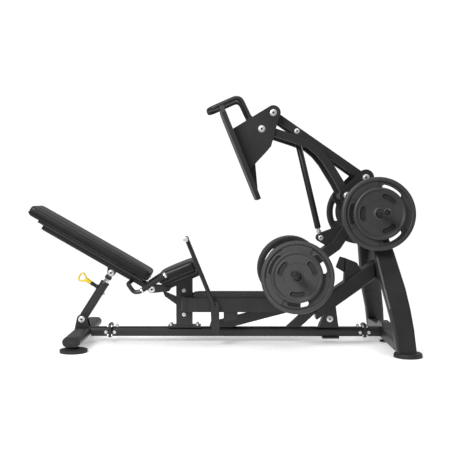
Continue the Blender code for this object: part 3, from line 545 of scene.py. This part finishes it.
def horn_piece(name, start, axis, length, body, node):
    """A weight horn with a plugged, rounded end."""
    radius = HORN_RADIUS
    shaft = [(0, length), (radius - 0.011, length), (radius - 0.010, length - 0.001),
             (radius - 0.010, length - 0.004), (radius - 0.008, length - 0.004),
             (radius - 0.008, length), (radius - 0.005, length - 0.001),
             (radius - 0.001, length - 0.006), (radius, length - 0.012), (radius, length - 0.030),
             (radius - 0.0012, length - 0.031), (radius - 0.0012, length - 0.033), (radius, length - 0.034),
             (radius, 0.0), (0, 0)]
    item = mesh_piece(name, lathe(shaft, 64), aim(start, axis))
    place_piece(item, body, HORN_STEEL, (node,))


def horn_collar(name, centre, axis, height, body):
    """A stop collar with a chamfered outer edge; `height` is how far it stands past its centre."""
    ring = lathe([(0.034, height), (0.036, height - 0.002), (0.036, -0.004), (0.0245, -0.004),
                  (0.0245, height)])
    place_piece(mesh_piece(name, ring, aim(centre, axis)), body, HORN_STEEL)


def horns_and_plates():
    for name, side in SIDES:
        axis = horn_axis(side, LOAD_TILT, LOAD_LEAN)
        root = Vector((ARM_END[0], side * LOAD_START_Y, ARM_END[1]))
        length = (HORN_TIP_Y - LOAD_START_Y) / abs(axis.y) - LOAD_SHAFT_START
        horn_piece(f"loading_horn_{name}", root + axis * LOAD_SHAFT_START, axis, length, "weight_arm",
                   f"load_horn_{name}")
        horn_collar(f"horn_collar_{name}", root + axis * LOAD_COLLAR, axis, 0.008, "weight_arm")
        plates_on_horn("lower", name, side, root, axis, LOAD_PLATES, radians(30))
        axis = horn_axis(side, STORE_TILT, 0)
        root = Vector((STORE_HORN[0], side * STORE_START_Y, STORE_HORN[1]))
        length = (HORN_TIP_Y - STORE_START_Y) / abs(axis.y) - STORE_SHAFT_START
        horn_piece(f"holding_horn_{name}", root + axis * STORE_SHAFT_START, axis, length, "frame",
                   f"storage_horn_{name}")
        horn_collar(f"store_collar_{name}", root + axis * STORE_COLLAR, axis, 0.006, "frame")
        plates_on_horn("upper", name, side, root, axis, STORE_PLATES, radians(60))


def plates_on_horn(level, name, side, base, axis, first, turn):
    body = f"{level}_plates_{name}"
    big = plate_matrix(base + axis * (first + BIG_WIDTH / 2), axis)
    small = plate_matrix(base + axis * (first + BIG_WIDTH + PLATE_GAP + SMALL_WIDTH / 2), axis)
    big_plate(f"cast_{level}_plate_big_{name}", big, body, -side * turn)
    small_plate(f"cast_{level}_plate_small_{name}", small, body, -side * turn)


# ---------------------------------------------------------------- upholstery

def pad_matrix(start, along):
    """Local X runs up the pad, Z stands off its underside."""
    run = Vector((along[0], 0, along[1])).normalized()
    rise = Vector((-run.z, 0, run.x)) if run.x > 0 else Vector((run.z, 0, -run.x))
    side = rise.cross(run)
    facing = Matrix((run, side, rise)).transposed()
    return Matrix.Translation((start[0], 0, start[1])) @ facing.to_4x4()


def rounded_box_shape(low, high, radius, segments):
    shape = bmesh.new()
    bmesh.ops.create_cube(shape, size=1)
    bmesh.ops.scale(shape, vec=Vector(high) - Vector(low), verts=shape.verts)
    bmesh.ops.translate(shape, vec=(Vector(high) + Vector(low)) / 2, verts=shape.verts)
    bmesh.ops.bevel(shape, geom=shape.edges[:], offset=radius, segments=segments, profile=0.5,
                    affect="EDGES", clamp_overlap=True)
    return shape


def upholstered(name, low, high, matrix, body, node, puff, voxel=0.006):
    """A foam pad whose cover is blown up by a short cloth simulation, flat underneath."""
    inset = puff * 0.6
    small = [low[0] + inset, low[1] + inset, low[2]]
    large = [high[0] - inset, high[1] - inset, high[2] - inset]
    item = mesh_piece(name, rounded_box_shape(small, large, COVER_CORNER, 5), smooth=80)
    inflate(item, voxel, puff, low[2])
    subdivision = item.modifiers.new("fine", "SUBSURF")
    subdivision.levels = subdivision.render_levels = 1
    bake_modifiers(item)
    item.data.transform(matrix)
    item.data.shade_smooth()
    place_piece(item, body, MATERIALS["vinyl"], (node,))
    return item


def inflate(item, voxel, cap, underside):
    """Blow the cover up, scaled as a whole so that no point moves further than `cap`."""
    remesh = item.modifiers.new("remesh", "REMESH")
    remesh.mode = "VOXEL"
    remesh.voxel_size = voxel
    relax(item, RELAX_BEFORE)
    rest = [v.co.copy() for v in item.data.vertices]
    held = item.vertex_groups.new(name="held")
    held.add([v.index for v in item.data.vertices if v.co.z < underside + HELD_HEIGHT], 1.0, "REPLACE")
    cloth = item.modifiers.new("cloth", "CLOTH")
    cloth.settings.use_pressure = True
    cloth.settings.uniform_pressure_force = CLOTH_PRESSURE
    cloth.settings.tension_stiffness = CLOTH_STIFFNESS
    cloth.settings.compression_stiffness = CLOTH_STIFFNESS
    cloth.settings.bending_stiffness = CLOTH_BENDING
    cloth.settings.effector_weights.gravity = 0.0
    cloth.settings.vertex_group_mass = "held"
    scene = bpy.context.scene
    for step in range(1, CLOTH_STEPS + 1):
        scene.frame_set(step)
    bake_modifiers(item)
    shifts = [vertex.co - start for vertex, start in zip(item.data.vertices, rest)]
    share = min(1.0, cap / max(shift.length for shift in shifts))
    for vertex, start, shift in zip(item.data.vertices, rest, shifts):
        vertex.co = start + shift * share
    relax(item, RELAX_AFTER)
    scene.frame_set(1)


def relax(item, rounds):
    """Bake the modifiers and even out the small steps that a voxel mesh leaves."""
    smooth = item.modifiers.new("relax", "SMOOTH")
    smooth.factor = 0.5
    smooth.iterations = rounds
    bake_modifiers(item)


def bake_modifiers(item):
    bpy.context.view_layer.update()
    graph = bpy.context.evaluated_depsgraph_get()
    mesh = bpy.data.meshes.new_from_object(item.evaluated_get(graph), depsgraph=graph)
    item.modifiers.clear()
    item.data = mesh


def piping(name, low, high, height, matrix, body):
    """A sewn cord that runs round a pad's sides."""
    low_x, low_y = low[0] + SEAM_INSET, low[1] + SEAM_INSET
    high_x, high_y = high[0] - SEAM_INSET, high[1] - SEAM_INSET
    corners = ((high_x, high_y, 0), (low_x, high_y, 90), (low_x, low_y, 180), (high_x, low_y, 270))
    path = []
    for x, y, turn in corners:
        inward_x = SEAM_CORNER if x == high_x else -SEAM_CORNER
        inward_y = SEAM_CORNER if y == high_y else -SEAM_CORNER
        path += arc((x - inward_x, y - inward_y), SEAM_CORNER, radians(turn), radians(turn + 90), 6)
    points = [matrix @ Vector((x, y, height)) for x, y in path]
    item = tube_piece(name, points, SEAM_RADIUS, cyclic=True, resolution=3)
    place_piece(item, body, MATERIALS["vinyl"])


def pads():
    seat_run = (SEAT_HIGH[0] - SEAT_LOW[0], SEAT_HIGH[1] - SEAT_LOW[1])
    seat_length = hypot(*seat_run)
    seat = pad_matrix(SEAT_LOW, seat_run)
    low, high = (-0.009, -SEAT_HALF_Y, 0.0), (seat_length + 0.016, SEAT_HALF_Y, SEAT_THICKNESS)
    upholstered("seat_cushion", low, high, seat, "frame", "seat_pad", 0.008)
    piping("seat_seam", low, high, 0.020, seat, "frame")
    back = pad_matrix(BACK_END, (-cos(BACK_ANGLE), sin(BACK_ANGLE)))
    low, high = (0.0, -BACK_HALF_Y, 0.0), (BACK_LENGTH, BACK_HALF_Y, BACK_THICKNESS)
    upholstered("back_cushion", low, high, back, "backrest", "back_pad", 0.006)
    piping("back_seam", low, high, 0.016, back, "backrest")


# ---------------------------------------------------------------- tubes, grips and small hardware

def bend_path(points, radius, steps=8):
    """Replace each inner corner of a path by a smooth bend of about the given radius."""
    points = [Vector(p) for p in points]
    path = [points[0]]
    for before, corner, after in zip(points, points[1:], points[2:]):
        reach = min(radius, (corner - before).length * 0.45, (after - corner).length * 0.45)
        first = corner + (before - corner).normalized() * reach
        last = corner + (after - corner).normalized() * reach
        for k in range(steps + 1):
            t = k / steps
            path.append(first * (1 - t) ** 2 + corner * 2 * t * (1 - t) + last * t * t)
    return path + [points[-1]]


def smooth_loop(points, steps=6):
    """A closed Catmull-Rom curve through the points."""
    path = []
    for k, point in enumerate(points):
        before, following, later = points[k - 1], points[(k + 1) % len(points)], points[(k + 2) % len(points)]
        for step in range(steps):
            t = step / steps
            path.append(0.5 * (2 * point + (following - before) * t
                               + (2 * before - 5 * point + 4 * following - later) * t * t
                               + (3 * point - before - 3 * following + later) * t ** 3))
    return path


def ribbed_grip(length, radius, ribs, depth=0.0012):
    """A rubber sleeve with rounded rings along it, from Z = 0 to its length."""
    profile = [(0, length), (radius * 0.80, length), (radius, length - 0.003)]
    pitch = (length - 0.012) / ribs
    for k in range(ribs):
        top = length - 0.006 - k * pitch
        profile += [(radius, top), (radius, top - pitch * 0.55), (radius - depth, top - pitch * 0.65),
                    (radius - depth, top - pitch * 0.90)]
    return lathe(profile + [(radius, 0.004), (radius * 0.85, 0), (0, 0)], 40)


def end_cap(radius, thickness):
    """An aluminium end plug with a chamfered rim and a shallow recess in its centre."""
    ring = [(0, thickness * 0.7), (radius * 0.30, thickness * 0.7), (radius * 0.36, thickness),
            (radius * 0.86, thickness), (radius, thickness * 0.7), (radius, 0), (0, 0)]
    return lathe(ring, 40)


def hoop_handle():
    rising = (HOOP_BACK, HOOP_CORNER, HOOP_NOSE)
    path = [(x, -HOOP_HALF_Y, z) for x, z in rising] + [(x, HOOP_HALF_Y, z) for x, z in rising[::-1]]
    loop = tube_piece("hoop_tube", bend_path(path, HOOP_BEND), HOOP_TUBE_RADIUS)
    place_piece(loop, "carriage", MATERIALS["powder_coat"], ("hoop_handle",))
    bar = mesh_piece("hoop_cross_bar", lathe([(0, 0.1717), (0.0148, 0.1717), (0.0148, -0.1717), (0, -0.1717)],
                                             40), aim((HOOP_BACK[0], 0, HOOP_BACK[1]), (0, 1, 0)))
    place_piece(bar, "carriage", MATERIALS["powder_coat"])
    sleeve = [(HOOP_NOSE[0], y, HOOP_NOSE[1]) for y in (-0.072, 0.072)]
    axis = Vector(sleeve[1]) - Vector(sleeve[0])
    grip = mesh_piece("hoop_grip", ribbed_grip(axis.length, 0.0172, 16), aim(sleeve[0], axis))
    place_piece(grip, "carriage", MATERIALS["black_rubber"])


def lever():
    top = (LEVER_X, LEVER_Y - 0.0343, LEVER_TOP_Z)
    tip = Vector((0, -1, 0))
    grip = mesh_piece("lever_sleeve", ribbed_grip(0.084, 0.0170, 9), aim(top, tip))
    place_piece(grip, "safety_lever", MATERIALS["black_rubber"], ("lever_grip",))
    cap = mesh_piece("lever_cap", end_cap(0.0168, 0.0052), aim(Vector(top) + tip * 0.0845, tip))
    place_piece(cap, "safety_lever", ALUMINIUM)
    collar = lathe([(0.0132, 0.007), (0.0172, 0.006), (0.0172, 0.001), (0.0132, 0)], 32)
    place_piece(mesh_piece("lever_collar", collar, aim(Vector(top) - tip * 0.008, tip)), "safety_lever",
                ALUMINIUM)


def side_grips():
    start, end = Vector((GRIP_START[0], 0, GRIP_START[1])), Vector((GRIP_END[0], 0, GRIP_END[1]))
    axis = (end - start).normalized()
    length = (end - start).length
    for name, side in SIDES:
        place = Vector((0, side * GRIP_Y, 0))
        sleeve = mesh_piece(f"side_grip_{name}", ribbed_grip(length - 0.002, 0.0168, 14, 0.001),
                            aim(start + place + axis * 0.001, axis))
        place_piece(sleeve, "backrest", MATERIALS["black_rubber"], (f"grip_{name}",))
        cap = mesh_piece(f"grip_cap_{name}", end_cap(0.0190, 0.013), aim(end + place, axis))
        place_piece(cap, "backrest", ALUMINIUM)
        ring = lathe([(0.0145, 0.010), (0.0178, 0.009), (0.0178, 0.001), (0.0145, 0)], 32)
        place_piece(mesh_piece(f"grip_collar_{name}", ring, aim(start + place - axis * 0.011, axis)),
                    "backrest", ALUMINIUM)


def push_rod():
    top, bottom = (Vector((p[0], 0, p[1])) for p in (ROD_TOP, ROD_BOTTOM))
    axis = (bottom - top).normalized()
    length = (bottom - top).length
    shaft = lathe([(0, length - 0.062), (0.017, length - 0.062), (0.020, length - 0.068), (0.020, 0.068),
                   (0.017, 0.062), (0, 0.062)], 48)
    place_piece(mesh_piece("rod_tube", shaft, aim(top, axis)), "push_rod",
                MATERIALS["powder_coat"], ("push_rod",))
    threads, pitch = [], 0.0024
    for low, high in ((0.024, 0.061), (length - 0.061, length - 0.022)):
        turns = int((high - low) / pitch)
        profile = [(0, high)]
        for k in range(turns):
            z = high - k * pitch
            profile += [(0.0106, z), (0.0118, z - pitch / 2)]
        threads.append(moved(lathe(profile + [(0.0106, low), (0, low)], 32), aim(top, axis)))
        hexagon = [(0.0178 * cos(pi / 3 * k), 0.0178 * sin(pi / 3 * k)) for k in range(6)]
        threads.append(moved(prism(hexagon, 0, 0.012, 0.0012), aim(top + axis * (low + 0.014), axis)))
    place_piece(mesh_piece("rod_threads", merge(threads)), "push_rod", ZINC)
    eyes = []
    for point, reach in ((top, 0.0262), (bottom, 0.0242)):
        ring = [(reach - 0.002, 0.0185), (reach, 0.0165), (reach, -0.0165), (reach - 0.002, -0.0185),
                (0.0130, -0.0185), (0.0130, 0.0185)]
        eyes.append(moved(lathe(ring, 40), aim(point, (0, 1, 0))))
    place_piece(mesh_piece("rod_eyes", merge(eyes)), "push_rod", HORN_STEEL)


def strut_details():
    foot, head = (Vector((p[0], 0, p[1])) for p in (STRUT_FOOT, STRUT_HEAD))
    axis = (head - foot).normalized()
    outward = Vector((-axis.z, 0, axis.x))
    collar = lathe([(0.0175, 0.283), (0.0288, 0.283), (0.0302, 0.281), (0.0302, 0.272), (0.0292, 0.271),
                    (0.0175, 0.271)], 48)
    place_piece(mesh_piece("sleeve_collar", collar, aim(foot, axis)), "strut_lower",
                MATERIALS["powder_coat"])
    clevis = lathe([(0, 0.3317), (0.0215, 0.3317), (0.0230, 0.3300), (0.0230, 0.3110), (0.0215, 0.3095),
                    (0, 0.3095)], 48)
    place_piece(mesh_piece("clevis_collar", clevis, aim(foot, axis)), "strut_upper",
                MATERIALS["powder_coat"])
    station = foot + axis * PIN_STATION
    barrel = [(0.0060, 0.0776), (0.0118, 0.0776), (0.0130, 0.0760), (0.0130, 0.058), (0.0112, 0.057)]
    for k in range(7):
        z = 0.055 - k * 0.0026
        barrel += [(0.0112, z), (0.0122, z - 0.0013)]
    barrel += [(0.0145, 0.0335), (0.0145, 0.0295), (0.0060, 0.0295)]
    place_piece(mesh_piece("pin_barrel", lathe(barrel, 40), aim(station, outward)), "strut_lower",
                MATERIALS["powder_coat"], ("pop_pin_barrel",))
    pull_ring(station, outward)
    screw = mesh_piece("strut_screw", hex_nut(0.012, 0.008), aim(foot + axis * 0.212 - outward * 0.0288,
                                                                 -outward))
    place_piece(screw, "strut_lower", ZINC)


def pull_ring(station, outward):
    """A flared yellow pull: a conical neck that opens into a flat finger ring."""
    neck = [(0, 0.126), (0.0100, 0.126), (0.0145, 0.118), (0.0155, 0.108), (0.0135, 0.092),
            (0.0130, 0.083), (0.0110, 0.0786), (0, 0.0786)]
    place_piece(mesh_piece("pin_neck", lathe(neck, 40), aim(station, outward)), "pop_pin",
                MATERIALS["yellow_plastic"], ("pop_pin_handle",))
    across = Vector((outward.z, 0, -outward.x))
    half_loop = ((0.118, 0.008), (0.130, 0.017), (0.144, 0.025), (0.154, 0.026), (0.162, 0.019),
                 (0.165, 0.007))
    loop = [*half_loop, *((reach, -wide) for reach, wide in half_loop[::-1])]
    path = smooth_loop([station + outward * reach + across * wide for reach, wide in loop])
    ring = tube_piece("pin_ring", path, 0.0058, cyclic=True, resolution=4)
    place_piece(ring, "pop_pin", MATERIALS["yellow_plastic"])


def tread_ribs():
    """Raised ribs across the platform's tread."""
    low, high = (Vector(corner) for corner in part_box("platform_tread"))
    ribs = []
    x = low.x + 0.030
    while x < high.x - 0.008:
        outline = [(x - 0.0032, 0), (x + 0.0032, 0), (x + 0.0020, 0.0035), (x - 0.0020, 0.0035)]
        rib = prism(outline, low.y + 0.010, high.y - 0.010)
        upright = Matrix(((1, 0, 0, 0), (0, 0, 1, 0), (0, 1, 0, high.z - 0.0002), (0, 0, 0, 1)))
        ribs.append(moved(rib, upright))
        x += 0.0105
    place_piece(mesh_piece("tread_ribs", merge(ribs)), "frame", TREAD)
    frame["nodes"]["platform_tread"].data.materials[0] = TREAD


def backrest_frame():
    """The backrest's lower end, the direction up along it and the direction off its face."""
    run = Vector((-cos(BACK_ANGLE), 0, sin(BACK_ANGLE)))
    rise = Vector((sin(BACK_ANGLE), 0, cos(BACK_ANGLE)))
    return Vector((BACK_END[0], 0, BACK_END[1])), run, rise


def back_tube_plug():
    base, run, rise = backrest_frame()
    end = base + run * 0.7675 - rise * 0.0326
    matrix = Matrix.Translation(end) @ Matrix((rise, Vector((0, 1, 0)), -run)).transposed().to_4x4()
    plug = prism([(-0.019, -0.039), (0.019, -0.039), (0.019, 0.039), (-0.019, 0.039)], -0.005, 0.0, 0.0015)
    place_piece(mesh_piece("back_tube_plug", plug, matrix), "backrest",
                MATERIALS["black_rubber"])


def pad_clips():
    """Straps and screws that hold the back board to its frame."""
    base, run, rise = backrest_frame()
    clips = []
    for distance in (0.16, 0.42, 0.68):
        for side in (-1, 1):
            start = base + run * distance - rise * 0.0125 + Vector((0, side * 0.075, 0))
            clips.append(moved(socket_cap(0.008, 0.005), aim(start, -rise)))
            strap = base + run * distance - rise * 0.0127 + Vector((0, side * 0.056, 0))
            plate = prism([(-0.016, -0.030), (0.016, -0.030), (0.016, 0.030), (-0.016, 0.030)], -0.003, 0,
                          0.001)
            facing = Matrix((run, Vector((0, 1, 0)), rise)).transposed().to_4x4()
            clips.append(moved(plate, Matrix.Translation(strap) @ facing))
    place_piece(mesh_piece("pad_clips", merge(clips)), "backrest", ZINC)


def front_cap_faces():
    end_caps = []
    for _, side in SIDES:
        oval = [(0.040 * cos(a * pi / 16), 0.018 * sin(a * pi / 16)) for a in range(32)]
        cap = prism(oval, 0, 0.003, 0.001)
        end_caps.append(moved(cap, aim((FRONT_TUBE_X, side * FRONT_TUBE_END_Y, FRONT_TUBE_Z),
                                   (0, side, 0))))
    place_piece(mesh_piece("front_cap_faces", merge(end_caps)), "frame",
                MATERIALS["black_rubber"])


# ---------------------------------------------------------------- stage

def camera():
    data = bpy.data.cameras.new("camera")
    data.lens = CAMERA_LENS
    item = bpy.data.objects.new("camera", data)
    item.location = CAMERA_PLACE
    item.rotation_euler = (pi / 2 - CAMERA_PITCH, 0, CAMERA_YAW)
    bpy.context.scene.collection.objects.link(item)
    bpy.context.scene.camera = item


def area_light(name, place, target, size, power):
    data = bpy.data.lights.new(name, "AREA")
    data.shape = "RECTANGLE"
    data.size, data.size_y = size
    data.energy = power
    item = bpy.data.objects.new(name, data)
    item.matrix_world = Matrix.Translation(place) @ (
        (Vector(target) - Vector(place)).to_track_quat("-Z", "Y").to_matrix().to_4x4())
    bpy.context.scene.collection.objects.link(item)


def camera_sees_white(tree, background):
    """The studio is dimmer to the object than the white backdrop that the camera sees."""
    rays = tree.nodes.new("ShaderNodeLightPath")
    strength = tree.nodes.new("ShaderNodeMapRange")
    strength.inputs["To Min"].default_value = WORLD_ON_OBJECT
    strength.inputs["To Max"].default_value = WORLD_TO_CAMERA
    tree.links.new(rays.outputs["Is Camera Ray"], strength.inputs["Value"])
    tree.links.new(strength.outputs["Result"], background.inputs["Strength"])


def studio():
    world = bpy.data.worlds.new("studio")
    world.use_nodes = True
    background = world.node_tree.nodes["Background"]
    background.inputs["Color"].default_value = (1.0, 1.0, 1.0, 1)
    background.inputs["Strength"].default_value = 1.0
    camera_sees_white(world.node_tree, background)
    bpy.context.scene.world = world
    bpy.context.scene.view_settings.view_transform = "Standard"
    for light in LIGHTS:
        area_light(*light)
    floor()


def floor():
    """A white floor that fades out around the machine, so that no horizon line is seen."""
    shape = bmesh.new()
    bmesh.ops.create_grid(shape, x_segments=2, y_segments=2, size=FLOOR_HALF_SIZE)
    sheet = mesh_piece("floor", shape)
    material, tree, shader = node_material("studio_floor", (0.93, 0.93, 0.93), 0.9)
    shader.inputs["Emission Color"].default_value = (1, 1, 1, 1)
    shader.inputs["Emission Strength"].default_value = FLOOR_GLOW
    shader.inputs["Specular IOR Level"].default_value = 0.1
    shade = noise(tree, 0.7, 1.0)
    vary_colour(tree, shader, shade.outputs["Fac"], (0.925, 0.925, 0.925), (0.935, 0.935, 0.935))
    place = tree.nodes.new("ShaderNodeTexCoord")
    mapping = tree.nodes.new("ShaderNodeMapping")
    mapping.inputs["Scale"].default_value = (1 / FLOOR_REACH_X, 1 / FLOOR_REACH_Y, 1)
    fade = tree.nodes.new("ShaderNodeTexGradient")
    fade.gradient_type = "SPHERICAL"
    ramp = tree.nodes.new("ShaderNodeValToRGB")
    ramp.color_ramp.elements[1].position = FLOOR_FADE_END
    clear = tree.nodes.new("ShaderNodeBsdfTransparent")
    mix = tree.nodes.new("ShaderNodeMixShader")
    tree.links.new(place.outputs["Object"], mapping.inputs["Vector"])
    tree.links.new(mapping.outputs["Vector"], fade.inputs["Vector"])
    tree.links.new(fade.outputs["Fac"], ramp.inputs["Fac"])
    tree.links.new(ramp.outputs["Color"], mix.inputs["Fac"])
    tree.links.new(clear.outputs["BSDF"], mix.inputs[1])
    tree.links.new(shader.outputs["BSDF"], mix.inputs[2])
    tree.links.new(mix.outputs["Shader"], tree.nodes["Material Output"].inputs["Surface"])
    sheet.data.materials.append(material)


def paint_nodes():
    """Give every carried-over solid its finish and rounded edges."""
    slots = {entry["node"]: entry["material_slot"] for entry in frame["record"]["subparts"]}
    for node, item in frame["nodes"].items():
        item.data.materials.clear()
        item.data.materials.append(MATERIALS[slots[node]])
        item.data.shade_smooth()
        rounding = item.modifiers.new("rounding", "BEVEL")
        rounding.width = EDGE_ROUNDING
        rounding.segments = 2
        rounding.limit_method = "ANGLE"
        rounding.angle_limit = EDGE_ANGLE
        rounding.harden_normals = True


camera()
studio()
paint_nodes()
pivot_bolts()
frame_bolts()
rail_supports()
horns_and_plates()
hoop_handle()
lever()
side_grips()
push_rod()
strut_details()
tread_ribs()
back_tube_plug()
pad_clips()
front_cap_faces()
pads()
